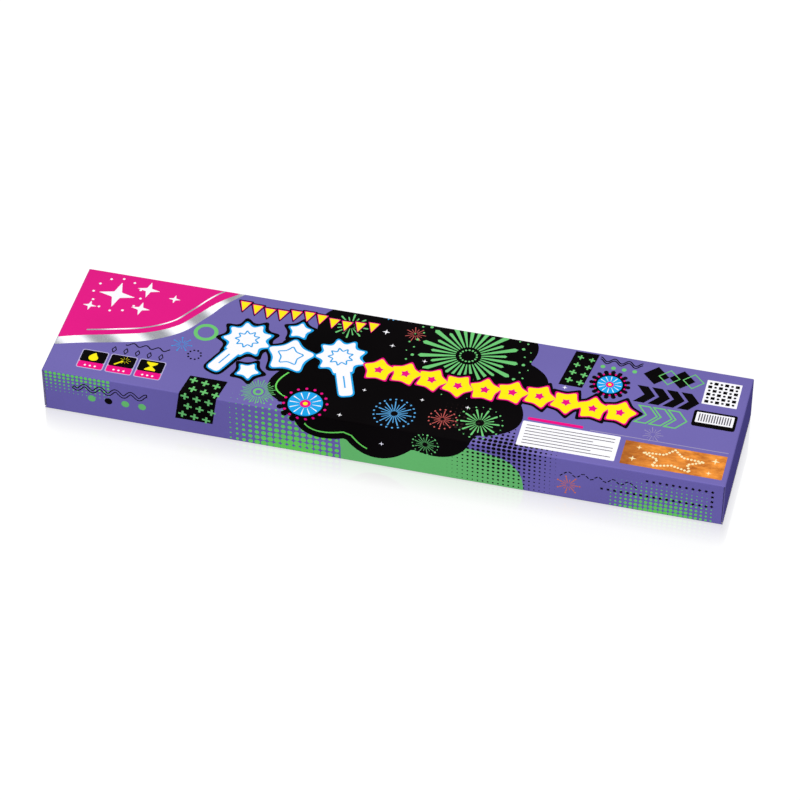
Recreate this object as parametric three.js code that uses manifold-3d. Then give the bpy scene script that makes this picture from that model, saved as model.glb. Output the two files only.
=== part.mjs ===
// A printed folding carton of thirty handheld sparklers, closed at both ends by tuck flaps.
// Millimetres. X runs along the carton, the front wall faces -Y, and Z is up from where it lies.
// The origin is the centre of the carton's underside.
import * as THREE from "three";
import { mergeVertices } from "three/addons/utils/BufferGeometryUtils.js";
import Module from "manifold-3d";

// The sparklers
const sparklerLength = 350;
const coatLength = 240; // the part that burns
const coatDiameter = 6.0;
const wireDiameter = 1.8;
const coatTipRun = 2.2; // the dipped end's rounding, along the wire
const coatShoulderRun = 7; // where the coat thins out towards the bare handle
const sparklerSides = 8;
const bundleRows = [3, 4, 3]; // sparklers in each layer, nested in one another

// The board sleeves that hold them ten and ten
const sleeveCount = 3;
const sleeveBoard = 0.4;
const sleeveTipSetback = 8; // the coat tips stand out of the sleeve by this much
const sleeveLength = 215;
const sleeveCreaseRadius = 1.2;
const sleeveLapWidth = 9; // the glued lap on the sleeve's top

// The carton's board and its folds
const board = 0.5;
const clearance = 0.3; // between neighbouring pieces
const creaseRadius = 0.9; // outside radius of a long fold
const sideRoom = 1.4; // beside each sleeve
const headRoom = 8.9; // above the sleeves
const contentsEndRoom = 1.0; // between a sparkler's end and the tuck tab

// The glue flap inside the back wall
const glueFlapHeight = 14;
const glueFlapMitre = 8; // how far its ends slope in

// The end closures
const endPanelInset = 0.3; // from each side wall's outer face
const tuckTabReach = 10.5; // into the carton, from its own fold
const tuckTabInset = 1.6; // from each side wall's outer face
const tuckTabCornerRadius = 7;
const tuckTabStart = 1.0; // from the fold's outer corner to the tab's board
const tuckTabSpringBack = 0.2; // degrees the tab straightens for each degree its panel opens
const dustFlapLength = 24;
const dustFlapOpening = 0.5; // degrees a dust flap swings for each degree its end panel opens
const dustFlapTaper = 0.06; // how much faster its upper edge falls than the swinging panel needs
const dustFlapLowerStep = 3; // its lower edge rises this much past the shoulder
const dustFlapCornerRadius = 3;

// Worked out from the above
const pitch = coatDiameter + clearance;
const layerRise = pitch * Math.sin(Math.PI / 3);
const widestRow = Math.max(...bundleRows);
const sleeveInnerWidth = (widestRow - 1) * pitch + coatDiameter + 2 * clearance;
const sleeveInnerHeight = (bundleRows.length - 1) * layerRise + coatDiameter + 2 * clearance;
const sleeveWidth = sleeveInnerWidth + 2 * sleeveBoard;
const sleeveHeight = sleeveInnerHeight + 2 * sleeveBoard;
const sleeveSpacing = sleeveWidth + sideRoom;

const endRoom = tuckTabStart + tuckTabReach + contentsEndRoom;
const cartonLength = sparklerLength + 2 * endRoom;
const cartonWidth = sleeveCount * sleeveSpacing + sideRoom + 2 * board;
const cartonHeight = 2 * board + clearance + sleeveHeight + headRoom;

const foldGap = board + clearance; // from a fold's outer corner to the board past it
const endPanelHeight = cartonHeight - 2 * foldGap;
const dustFlapOffset = foldGap + board; // from the end panel's outer face to the dust flap's inner one

// The tab's tip swings on the radius from the end panel's fold, and has to pass over the bottom wall.
const tuckFoldDrop = cartonHeight - foldGap;
const tipSwingLimit = cartonHeight - board - clearance;
const tuckTabTilt =
  Math.asin(
    Math.max(0, tuckTabReach ** 2 + tuckFoldDrop ** 2 - tipSwingLimit ** 2) /
      (2 * tuckFoldDrop * tuckTabReach),
  ) +
  tuckTabSpringBack * Math.atan(tuckTabReach / tuckFoldDrop);

const wasm = await Module();
wasm.setup();

const printedBoard = new THREE.MeshStandardMaterial({ color: "#736aaf", roughness: 0.4 });
const plainBoard = new THREE.MeshStandardMaterial({ color: "#d9d5cc", roughness: 0.85 });
const coatGrey = new THREE.MeshStandardMaterial({ color: "#5d5a58", roughness: 0.9 });

// A three.js geometry as a solid for cutting and joining.
function solid(geometry) {
  const bare = geometry.index ? geometry.toNonIndexed() : geometry.clone();
  bare.deleteAttribute("normal");
  bare.deleteAttribute("uv");
  const merged = mergeVertices(bare, 1e-4);
  return new wasm.Manifold(
    new wasm.Mesh({
      numProp: 3,
      vertProperties: merged.attributes.position.array,
      triVerts: new Uint32Array(merged.index.array),
    }),
  );
}

// A cut or joined solid as a three.js geometry.
function geometryOf(manifold) {
  const { vertProperties, triVerts } = manifold.getMesh();
  const geometry = new THREE.BufferGeometry();
  geometry.setAttribute("position", new THREE.BufferAttribute(vertProperties, 3));
  geometry.setIndex(new THREE.BufferAttribute(triVerts, 1));
  return geometry;
}

function named(name, geometry, material) {
  const mesh = new THREE.Mesh(geometry, material);
  mesh.name = name;
  return mesh;
}

// An outline through corners given as [across, up, radius], with each corner rounded.
function outline(corners, Kind = THREE.Shape) {
  const path = new Kind();
  corners.forEach(([x, y, radius = 0], i) => {
    const corner = new THREE.Vector2(x, y);
    const before = new THREE.Vector2(...corners.at(i - 1));
    const after = new THREE.Vector2(...corners[(i + 1) % corners.length]);
    const start = before.sub(corner).setLength(radius).add(corner);
    const end = after.sub(corner).setLength(radius).add(corner);
    if (i === 0) path.moveTo(start.x, start.y);
    else path.lineTo(start.x, start.y);
    if (radius > 0) path.quadraticCurveTo(x, y, end.x, end.y);
  });
  path.closePath();
  return path;
}

function rectangle(width, height, radius, Kind) {
  const [x, y] = [width / 2, height / 2];
  return outline([[-x, -y, radius], [x, -y, radius], [x, y, radius], [-x, y, radius]], Kind);
}

// A shape drawn across Y and up Z, extruded along X from start to end.
function alongX(shape, start, end) {
  const geometry = new THREE.ExtrudeGeometry(shape, {
    depth: end - start,
    bevelEnabled: false,
    curveSegments: 4,
  });
  const toX = new THREE.Matrix4().makeBasis(
    new THREE.Vector3(0, 1, 0),
    new THREE.Vector3(0, 0, 1),
    new THREE.Vector3(1, 0, 0),
  );
  return geometry.applyMatrix4(toX).translate(start, 0, 0);
}

function block(lengthX, widthY, heightZ, x, y, z) {
  return new THREE.BoxGeometry(lengthX, widthY, heightZ).translate(x, y, z);
}

// The glue flap, a strip with mitred ends that lies inside the back wall and sinks a little into it.
function glueFlap() {
  const sink = board / 5;
  const halfLength = cartonLength / 2 - foldGap - clearance;
  const [low, high] = [board - sink, board + glueFlapHeight];
  const strip = new THREE.ExtrudeGeometry(
    outline([
      [-halfLength, low],
      [halfLength, low],
      [halfLength - glueFlapMitre, high],
      [-halfLength + glueFlapMitre, high],
    ]),
    { depth: board + sink, bevelEnabled: false },
  );
  return strip.rotateX(Math.PI / 2).translate(0, cartonWidth / 2 - board + sink, 0);
}

// The carton's four walls: a tube whose front and back walls stop short of the end panels.
function cartonTube() {
  const shape = rectangle(cartonWidth, cartonHeight, creaseRadius);
  const innerRadius = creaseRadius - board;
  shape.holes.push(
    rectangle(cartonWidth - 2 * board, cartonHeight - 2 * board, innerRadius, THREE.Path),
  );
  const length = cartonLength / 2;
  const walls = alongX(shape, -length, length).translate(0, 0, cartonHeight / 2);
  let tube = solid(walls).add(solid(glueFlap()));
  for (const end of [-1, 1]) {
    const mouth = block(
      2 * foldGap,
      2 * cartonWidth,
      cartonHeight - 2 * board,
      end * length,
      0,
      cartonHeight / 2,
    );
    tube = tube.subtract(solid(mouth));
  }
  return named("carton_tube", geometryOf(tube), printedBoard);
}

// The panel that closes an end. It hangs from the fold along the top wall's edge.
function endPanel(name) {
  const halfWidth = cartonWidth / 2 - endPanelInset;
  const panel = rectangle(2 * halfWidth, endPanelHeight, 0);
  const outer = cartonLength / 2;
  const middle = foldGap + endPanelHeight / 2;
  return named(name, alongX(panel, outer - board, outer).translate(0, 0, middle), printedBoard);
}

// The tab below an end panel, tucked in over the bottom wall with its tip raised.
function tuckTab(name) {
  const atFold = cartonWidth / 2 - tuckTabInset;
  const atTip = atFold - tuckTabCornerRadius / 4;
  const tab = outline([
    [tuckTabStart, -atFold],
    [tuckTabReach, -atTip, tuckTabCornerRadius],
    [tuckTabReach, atTip, tuckTabCornerRadius],
    [tuckTabStart, atFold],
  ]);
  const sheet = new THREE.ExtrudeGeometry(tab, {
    depth: board,
    bevelEnabled: false,
    curveSegments: 6,
  });
  sheet.rotateX(Math.PI).rotateY(Math.PI);
  const mesh = named(name, sheet, printedBoard);
  mesh.position.set(cartonLength / 2, 0, foldGap);
  mesh.rotation.y = tuckTabTilt;
  return mesh;
}

// A dust flap, folded in behind the end panel from a side wall's edge: side is -1 or 1 along Y.
function dustFlap(name, side) {
  const start = foldGap;
  const tabTop =
    foldGap + dustFlapOffset * Math.tan(tuckTabTilt) + board / Math.cos(tuckTabTilt);
  const low = tabTop + clearance;
  const high = cartonHeight - foldGap - clearance;
  const topAt = (run) => high - (dustFlapOpening + dustFlapTaper) * run;
  const shoulder = start + dustFlapLowerStep;
  const flap = outline([
    [start, low],
    [shoulder, low + dustFlapLowerStep],
    [dustFlapLength, low + dustFlapLowerStep, dustFlapCornerRadius],
    [dustFlapLength, topAt(dustFlapLength), dustFlapCornerRadius],
    [start, topAt(start)],
  ]);
  const face = cartonLength / 2 - foldGap;
  const mesh = named(name, alongX(flap, -board / 2, board / 2), printedBoard);
  mesh.rotation.z = side > 0 ? Math.PI : 0;
  mesh.position.set(face - board / 2, (side * cartonWidth) / 2, 0);
  return mesh;
}

// One end of the carton. The left end is the right one turned half round, which swaps front and back.
function endClosure(end, turn) {
  const [lowSide, highSide] = turn === 0 ? ["front", "back"] : ["back", "front"];
  const closure = new THREE.Group();
  closure.add(
    endPanel(`${end}_end_panel`),
    tuckTab(`${end}_tuck_tab`),
    dustFlap(`${end}_${lowSide}_dust_flap`, -1),
    dustFlap(`${end}_${highSide}_dust_flap`, 1),
  );
  closure.rotation.z = turn;
  return closure;
}

// A sleeve of thin board, open at both ends, with its glued lap on top.
function sleeve(name) {
  const [x, y] = [sleeveWidth / 2, sleeveHeight / 2];
  const radius = sleeveCreaseRadius;
  const lap = sleeveLapWidth / 2;
  const shape = outline([
    [-x, -y, radius],
    [x, -y, radius],
    [x, y, radius],
    [lap, y],
    [lap, y + sleeveBoard],
    [-lap, y + sleeveBoard],
    [-lap, y],
    [-x, y, radius],
  ]);
  shape.holes.push(
    rectangle(sleeveInnerWidth, sleeveInnerHeight, radius - sleeveBoard, THREE.Path),
  );
  const start = -sparklerLength / 2 + sleeveTipSetback;
  return named(name, alongX(shape, start, start + sleeveLength), plainBoard);
}

// A sparkler: a steel wire, dipped over most of its length, lying along X with its bare handle to +X.
function sparkler(name) {
  const [coat, wire] = [coatDiameter / 2, wireDiameter / 2];
  const profile = [
    [0, 0],
    [coat * 0.6, 0.25 * coatTipRun],
    [coat * 0.9, 0.6 * coatTipRun],
    [coat, coatTipRun],
    [coat, coatLength - coatShoulderRun],
    [coat * 0.8, coatLength - coatShoulderRun / 3],
    [wire, coatLength],
    [wire, sparklerLength],
    [0, sparklerLength],
  ];
  const points = profile.map(([radius, along]) => new THREE.Vector2(radius, along));
  const lathe = new THREE.LatheGeometry(points, sparklerSides);
  lathe.rotateZ(-Math.PI / 2).translate(-sparklerLength / 2, 0, 0);
  return named(name, lathe, coatGrey);
}

// Ten sparklers in their sleeve. Each layer lies in the hollows of the one below.
function bundle(place, number, middleY) {
  const group = new THREE.Group();
  const pack = sleeve(`${place}_sleeve`);
  pack.position.z = sleeveHeight / 2;
  group.add(pack);
  let count = number;
  bundleRows.forEach((inRow, layer) => {
    for (let i = 0; i < inRow; i += 1) {
      count += 1;
      const stick = sparkler(`sparkler_${String(count).padStart(2, "0")}`);
      stick.position.y = (i - (inRow - 1) / 2) * pitch;
      stick.position.z = sleeveBoard + clearance + coatDiameter / 2 + layer * layerRise;
      group.add(stick);
    }
  });
  group.position.set(0, middleY, board + clearance);
  return group;
}

const carton = new THREE.Group();
carton.add(cartonTube(), endClosure("right", 0), endClosure("left", Math.PI));
const perBundle = bundleRows.reduce((sum, inRow) => sum + inRow, 0);
const places = ["front", "middle", "back"];
for (let i = 0; i < sleeveCount; i += 1) {
  const middleY = (i - (sleeveCount - 1) / 2) * sleeveSpacing;
  carton.add(bundle(places[i] ?? `extra_${i}`, i * perBundle, middleY));
}

export default carton;
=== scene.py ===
import math

import bmesh
import bpy
import numpy as np
from mathutils import Matrix, Vector
from mathutils.geometry import delaunay_2d_cdt


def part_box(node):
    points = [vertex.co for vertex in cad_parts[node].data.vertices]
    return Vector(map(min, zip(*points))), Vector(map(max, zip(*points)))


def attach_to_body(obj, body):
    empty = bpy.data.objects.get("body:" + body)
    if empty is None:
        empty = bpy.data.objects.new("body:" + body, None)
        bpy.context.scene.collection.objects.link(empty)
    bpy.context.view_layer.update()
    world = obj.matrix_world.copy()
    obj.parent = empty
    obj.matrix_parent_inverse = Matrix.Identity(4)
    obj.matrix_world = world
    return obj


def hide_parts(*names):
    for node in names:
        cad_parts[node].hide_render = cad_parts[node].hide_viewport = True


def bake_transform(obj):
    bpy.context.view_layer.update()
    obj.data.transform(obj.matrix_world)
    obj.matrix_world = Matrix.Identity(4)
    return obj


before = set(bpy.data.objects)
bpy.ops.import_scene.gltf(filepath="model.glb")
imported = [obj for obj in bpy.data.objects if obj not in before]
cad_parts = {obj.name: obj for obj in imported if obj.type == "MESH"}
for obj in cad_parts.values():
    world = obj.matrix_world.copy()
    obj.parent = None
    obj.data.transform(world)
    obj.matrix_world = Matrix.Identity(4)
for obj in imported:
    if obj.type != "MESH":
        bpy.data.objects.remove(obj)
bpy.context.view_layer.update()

# A printed carton of handheld sparklers. X runs along the carton, the front wall faces -Y, Z is up.
# Sizes are in millimetres, and MM turns them into metres where a mesh is made.
# Finishes, the camera, the lamps and the floor are in metres.
MM = 0.001

# The camera was fitted to the seven corners of the carton that the photo shows.
CAMERA_PLACE = (0.35385, -1.40167, 1.35974)
CAMERA_FORWARD = (-0.178149, 0.708696, -0.682652)
CAMERA_RIGHT = (0.970074, 0.242808, -0.001086)
CAMERA_LENS = 163.9
CAMERA_SENSOR = 36


def add_object(name, data):
    made = bpy.data.objects.new(name, data)
    bpy.context.scene.collection.objects.link(made)
    return made


def add_camera():
    data = bpy.data.cameras.new("photo_camera")
    data.sensor_width = CAMERA_SENSOR
    data.lens = CAMERA_LENS
    camera = add_object("photo_camera", data)
    forward = Vector(CAMERA_FORWARD).normalized()
    right = Vector(CAMERA_RIGHT).normalized()
    up = right.cross(forward).normalized()
    turn = Matrix((forward.cross(up), up, -forward)).transposed().to_4x4()
    camera.matrix_world = Matrix.Translation(CAMERA_PLACE) @ turn
    bpy.context.scene.camera = camera


add_camera()


# Sizes from the frame


def span(node):
    """A node's lowest and highest corners, in mm."""
    low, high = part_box(node)
    return [c / MM for c in low], [c / MM for c in high]


tube_low, tube_high = span("carton_tube")
half_length = tube_high[0]
width = tube_high[1] - tube_low[1]
height = tube_high[2]
panel_low, panel_high = span("right_end_panel")
flap_low, flap_high = span("right_front_dust_flap")
tab_low, tab_high = span("right_tuck_tab")

BOARD = panel_high[0] - panel_low[0]
FOLD = height - panel_high[2]  # from a fold's outer corner to the flat board past it
CREASE = 0.65  # outside radius of a long crease
PRINT_STEP = 0.015  # how far each printed layer stands over the one below
PRINT_SINK = 0.02  # how far a printed layer reaches into the board


# Node trees


class Nodes:
    """Adds nodes to a tree; an input takes a number or another node's output."""

    def __init__(self, tree):
        self.tree = tree

    def put(self, socket, value):
        if isinstance(value, bpy.types.NodeSocket):
            self.tree.links.new(value, socket)
        else:
            socket.default_value = value

    def node(self, kind, inputs=None, **settings):
        made = self.tree.nodes.new(kind)
        for key, value in settings.items():
            setattr(made, key, value)
        for key, value in (inputs or {}).items():
            self.put(made.inputs[key], value)
        return made

    def math(self, operation, *values):
        return self.node("ShaderNodeMath", dict(enumerate(values)), operation=operation).outputs[0]

    def times(self, first, second):
        return self.math("MULTIPLY", first, second)

    def minus(self, first, second):
        return self.math("SUBTRACT", first, second)

    def ramp(self, value, low, high, to_low=0.0, to_high=1.0, smooth=False):
        """Maps value from low..high to to_low..to_high, held at both ends."""
        kind = "SMOOTHSTEP" if smooth else "LINEAR"
        sizes = {"Value": value, "From Min": low, "From Max": high}
        sizes |= {"To Min": to_low, "To Max": to_high}
        return self.node("ShaderNodeMapRange", sizes, interpolation_type=kind).outputs[0]

    def join(self, x=0.0, y=0.0, z=0.0):
        return self.node("ShaderNodeCombineXYZ", {0: x, 1: y, 2: z}).outputs[0]

    def split(self, vector):
        return self.node("ShaderNodeSeparateXYZ", {0: vector}).outputs

    def seen_by_eye(self):
        """1 for rays that show the surroundings, straight or in a gloss, and 0 for rays of light."""
        rays = self.node("ShaderNodeLightPath").outputs
        seen = self.math("MAXIMUM", rays["Is Camera Ray"], rays["Is Glossy Ray"])
        return self.math("MAXIMUM", seen, rays["Is Transmission Ray"])


# Finishes


def linear(colour):
    """An sRGB colour of 0 to 255 as Blender's linear one."""
    parts = [c / 255 for c in colour]
    return [c / 12.92 if c <= 0.04045 else ((c + 0.055) / 1.055) ** 2.4 for c in parts]


class Finish(Nodes):
    """A procedural material on object coordinates."""

    def __init__(self, name):
        self.material = bpy.data.materials.new(name)
        self.material.use_nodes = True
        super().__init__(self.material.node_tree)
        self.shader = self.tree.nodes["Principled BSDF"]
        self.place = self.node("ShaderNodeTexCoord").outputs["Object"]

    def noise(self, per_metre, detail=2.0, roughness=0.5, stretch=None):
        """Noise of about so many grains in a metre, drawn out where stretch is below 1."""
        where = self.place
        if stretch:
            sizes = {"Vector": where, "Scale": stretch}
            where = self.node("ShaderNodeMapping", sizes).outputs[0]
        sizes = {"Vector": where, "Scale": per_metre, "Detail": detail, "Roughness": roughness}
        return self.node("ShaderNodeTexNoise", sizes).outputs["Fac"]

    def spread(self, noise, low=0.0, high=1.0):
        """Noise as a value from low to high, for it seldom leaves the range of 0.3 to 0.7."""
        return self.ramp(noise, 0.3, 0.7, low, high)

    def mix(self, factor, first, second, blend="MIX"):
        made = self.node("ShaderNodeMix", data_type="RGBA", blend_type=blend)
        colours = [s for s in made.inputs if s.type == "RGBA"]
        self.put(made.inputs[0], factor)
        for socket, colour in zip(colours, (first, second)):
            self.put(socket, colour if isinstance(colour, bpy.types.NodeSocket) else (*colour, 1))
        return next(s for s in made.outputs if s.type == "RGBA")

    def shade(self, noise, colour, amount):
        """A colour that noise makes darker and lighter by amount."""
        dark = [max(0.0, c * (1 - amount)) for c in colour]
        light = [min(1.0, c * (1 + amount) + 0.004 * amount) for c in colour]
        return self.mix(self.spread(noise), dark, light)

    def bump(self, value, depth, strength, under=None):
        sizes = {"Height": value, "Distance": depth, "Strength": strength}
        if under is not None:
            sizes["Normal"] = under
        return self.node("ShaderNodeBump", sizes).outputs[0]

    def done(self, colour, roughness, normal, metallic=0.0, specular=0.5):
        values = {"Base Color": colour, "Roughness": roughness, "Normal": normal}
        values |= {"Metallic": metallic, "Specular IOR Level": specular}
        for key, value in values.items():
            self.put(self.shader.inputs[key], value)
        return self.material


# A slanting ribbon crosses the left end panel, and the panel is magenta past it.
RIBBON_SLANT = 0.9  # how far it leans along Y for each unit of height
RIBBON_EDGE = 0.0001
RIBBON_COLOURS = ((0.00428, (204, 206, 211)), (0.01042, (230, 29, 135)))  # where each starts


def printed_finish(name, colour, gloss=0.44, clouds=0.045, sheen=0.06, corner=False):
    """Offset ink under a satin coating: fine board tooth and slow drifts in the ink."""
    finish = Finish(name)
    tooth = finish.noise(2600, detail=3, roughness=0.6)
    drift = finish.noise(14)
    tint = finish.shade(drift, linear(colour), clouds)
    if corner:
        _, y, z = finish.split(finish.place)
        slanted = finish.math("MULTIPLY_ADD", z, RIBBON_SLANT, y)
        for start, past in RIBBON_COLOURS:
            tint = finish.mix(finish.ramp(slanted, start, start + RIBBON_EDGE), tint, linear(past))
    speckle = finish.ramp(tooth, 0.35, 0.65, 0.975, 1.025)
    grain = finish.node("ShaderNodeCombineColor", {0: speckle, 1: speckle, 2: speckle}).outputs[0]
    tint = finish.mix(1.0, tint, grain, "MULTIPLY")
    mottle = finish.spread(finish.noise(420, detail=3, roughness=0.6), gloss - 0.05, gloss + 0.06)
    relief = finish.bump(tooth, depth=0.000012, strength=0.5)
    relief = finish.bump(drift, depth=0.0006, strength=0.25, under=relief)
    return finish.done(tint, mottle, relief, specular=sheen)


def board_finish(name, colour, fibre=0.05):
    """Uncoated board: pale pulp with short darker fibres lying mostly along the carton."""
    finish = Finish(name)
    fibres = finish.noise(900, detail=4, roughness=0.7, stretch=(0.25, 1, 1))
    specks = finish.ramp(finish.noise(1500), 0.66, 0.74)
    pulp = finish.shade(fibres, linear(colour), fibre)
    pulp = finish.mix(specks, pulp, [c * 0.72 for c in linear(colour)])
    dullness = finish.spread(finish.noise(120), 0.78, 0.9)
    relief = finish.bump(fibres, depth=0.00004, strength=0.6)
    return finish.done(pulp, dullness, relief, specular=0.3)


def foil_finish():
    """Silver ink with a painted reflection: slow light and dark bands along the ribbon, and a fine
    metallic grain.
    """
    finish = Finish("silver_foil_ink")
    x, y, _ = finish.split(finish.place)
    along = finish.math("MULTIPLY_ADD", y, 1.3, x)
    # Painted reflection: bands of pale and dark grey in the ink's colour stand in for what the metal
    # reflects along the ribbon.
    painted_reflection_sweep = finish.ramp(finish.math("SINE", finish.times(along, 150.0)), -1, 1, smooth=True)
    silver = finish.mix(painted_reflection_sweep, linear((128, 130, 136)), linear((246, 247, 250)))
    flake = finish.noise(5200)
    silver = finish.mix(finish.ramp(flake, 0.4, 0.8, 0, 0.35), silver, linear((226, 228, 232)))
    dullness = finish.spread(finish.noise(300), 0.32, 0.42)
    relief = finish.bump(flake, depth=0.00001, strength=0.4)
    return finish.done(silver, dullness, relief, metallic=0.35)


def sand_finish():
    """Ochre sand with darker hollows, in a warm light that fades towards one side."""
    finish = Finish("warm_sand_picture")
    hollows = finish.noise(260, detail=4, roughness=0.62, stretch=(0.6, 1.3, 1))
    grains = finish.noise(2400, detail=3, roughness=0.7)
    sand = finish.mix(finish.ramp(hollows, 0.32, 0.68), linear((172, 84, 18)), linear((255, 158, 58)))
    sand = finish.mix(finish.ramp(grains, 0.35, 0.65, 0, 0.2), sand, linear((252, 186, 104)))
    dusk = finish.ramp(finish.split(finish.place)[0], 0.146, 0.130, 0.0, 0.6, smooth=True)
    sand = finish.mix(dusk, sand, linear((132, 66, 22)))
    relief = finish.bump(grains, depth=0.00001, strength=0.4)
    return finish.done(sand, 0.5, relief, specular=0.05)


def coat_finish():
    """The dipped and dried mixture: dark grey, gritty, with steel and aluminium grains."""
    finish = Finish("dipped_sparkler_coat")
    grit = finish.noise(1700, detail=4, roughness=0.7)
    grey = finish.shade(grit, linear((104, 101, 99)), 0.35)
    clouds = finish.ramp(finish.noise(60), 0.4, 0.7, 0, 0.3)
    grey = finish.mix(clouds, grey, linear((76, 72, 70)))
    cells = finish.node("ShaderNodeTexVoronoi", {"Vector": finish.place, "Scale": 2100.0})
    glint = finish.ramp(cells.outputs["Distance"], 0.10, 0.16, 1.0, 0.0)
    grey = finish.mix(glint, grey, linear((196, 196, 200)))
    dullness = finish.ramp(glint, 0, 1, 0.92, 0.4)
    relief = finish.bump(grit, depth=0.00015, strength=0.9)
    return finish.done(grey, dullness, relief, specular=0.3)


def wire_finish():
    """Drawn low-carbon steel wire, dull from its copper wash, with rings from the die."""
    finish = Finish("drawn_steel_wire")
    drawn = finish.noise(2500, stretch=(0.02, 1, 1))
    dull = finish.noise(90, detail=3)
    steel = finish.shade(drawn, linear((196, 192, 186)), 0.12)
    steel = finish.mix(finish.ramp(dull, 0.5, 0.75, 0, 0.5), steel, linear((164, 148, 132)))
    relief = finish.bump(drawn, depth=0.00001, strength=0.5)
    return finish.done(steel, finish.spread(dull, 0.3, 0.5), relief, metallic=0.7)


PURPLE = (114, 105, 173)
MATT = {"gloss": 0.6, "sheen": 0.0}
INKS = {
    "purple": (PURPLE, {"sheen": 0.03}),
    "matt_purple": (PURPLE, MATT),
    "magenta": ((228, 22, 131), {"sheen": 0.03}),
    "deep_magenta": ((240, 0, 130), {}),
    "black": ((4, 2, 3), {"gloss": 0.38, "clouds": 0.3, "sheen": 0.008}),
    "green": ((112, 204, 118), {}),
    "bright_green": ((110, 222, 92), {}),
    "leaf_green": ((110, 200, 112), {}),
    "yellow": ((255, 240, 10), {"clouds": 0.02}),
    "white": ((255, 255, 255), {"clouds": 0.012}),
    "cyan": ((20, 166, 232), {}),
    "sky": ((90, 170, 225), {}),
    "soot": ((42, 29, 27), {"gloss": 0.5, "sheen": 0.008}),
    "orange": ((205, 96, 90), {}),
    "amber": ((226, 118, 62), {}),
    "grey": ((160, 152, 186), {}),
    "rule": ((96, 94, 100), {}),
    "pale": ((190, 184, 220), {}),
    "cream": ((255, 236, 178), {"clouds": 0.03}),
}
ink = {name: printed_finish(f"{name}_ink", colour, **look) for name, (colour, look) in INKS.items()}
ink["left_panel"] = printed_finish("purple_ink_with_magenta_corner", PURPLE, corner=True, **MATT)
ink["silver"] = foil_finish()
ink["sand"] = sand_finish()
raw_board = board_finish("raw_board_inside", (222, 216, 204))
cut_edge = board_finish("tinted_cut_edge", (104, 97, 152), 0.08)
sleeve_outside = board_finish("white_sleeve_board", (236, 234, 228), 0.03)
sleeve_inside = board_finish("grey_sleeve_inside", (196, 190, 180), 0.07)
coat = coat_finish()
wire = wire_finish()


# Meshes


def piece(name, points, faces, finishes, face_finish=None, smooth_angle=None):
    """A mesh object at the origin, from points in metres."""
    mesh = bpy.data.meshes.new(name)
    mesh.from_pydata([tuple(p) for p in points], [], [list(f) for f in faces])
    for finish in finishes:
        mesh.materials.append(finish)
    if face_finish is not None:
        mesh.polygons.foreach_set("material_index", np.array(face_finish, np.int32))
    if smooth_angle is not None:
        mesh.polygons.foreach_set("use_smooth", np.ones(len(mesh.polygons), bool))
        mesh.set_sharp_from_angle(angle=math.radians(smooth_angle))
    mesh.update()
    return add_object(name, mesh)


def attach(made, body, node=None):
    """Lets a finished piece ride with a body, and stand in for a node where one is named."""
    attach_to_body(made, body)
    if node:
        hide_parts(node)


def half_turn(points):
    """The left end is the right one turned half round."""
    return np.asarray(points) * (-1, -1, 1)


def rounded_path(corners, steps=8):
    """A line through corners given as (across, up, run), bent round each one from run mm before it."""
    line = []
    for i, (across, up, run) in enumerate(corners):
        corner = np.array((across, up), float)
        if run == 0:
            line.append(corner)
            continue
        back = np.array(corners[i - 1][:2]) - corner
        ahead = np.array(corners[i + 1][:2]) - corner
        back, ahead = back / np.linalg.norm(back), ahead / np.linalg.norm(ahead)
        turning = math.pi - math.acos(np.clip(back @ ahead, -1, 1))
        radius = run / math.tan(turning / 2)
        middle = (back + ahead) / np.linalg.norm(back + ahead)
        centre = corner + middle * radius / math.cos(turning / 2)
        first, last = corner + back * run - centre, corner + ahead * run - centre
        for k in range(steps + 1):
            share = k / steps
            a = math.sin((1 - share) * turning) / math.sin(turning)
            b = math.sin(share * turning) / math.sin(turning)
            line.append(centre + a * first + b * last)
    return np.array(line)


def offset_line(line, by):
    """The line moved sideways to its left by the given distance."""
    steps = np.diff(line, axis=0)
    steps /= np.linalg.norm(steps, axis=1)[:, None]
    left = np.stack([-steps[:, 1], steps[:, 0]], 1)
    before, after = np.vstack([left[:1], left]), np.vstack([left, left[-1:]])
    turn = (before + after) / (1 + (before * after).sum(1))[:, None]
    return line + turn * by


def corner_arc(before, corner, after, run, steps, most=1.0):
    """A corner rounded from run mm before it to run mm past it, or from at most that share of a side."""
    before, corner, after = (np.array(p, float) for p in (before, corner, after))
    start = corner + (before - corner) * min(run / np.linalg.norm(before - corner), most)
    end = corner + (after - corner) * min(run / np.linalg.norm(after - corner), most)
    shares = np.linspace(0, 1, steps + 1)
    return [(1 - t) ** 2 * start + 2 * t * (1 - t) * corner + t * t * end for t in shares]


def soften(corners, run, steps=4):
    """An outline with every corner rounded."""
    line = []
    for i, corner in enumerate(corners):
        after = corners[(i + 1) % len(corners)]
        line += corner_arc(corners[i - 1], corner, after, run, steps, most=0.46)
    return np.array(line)


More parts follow.
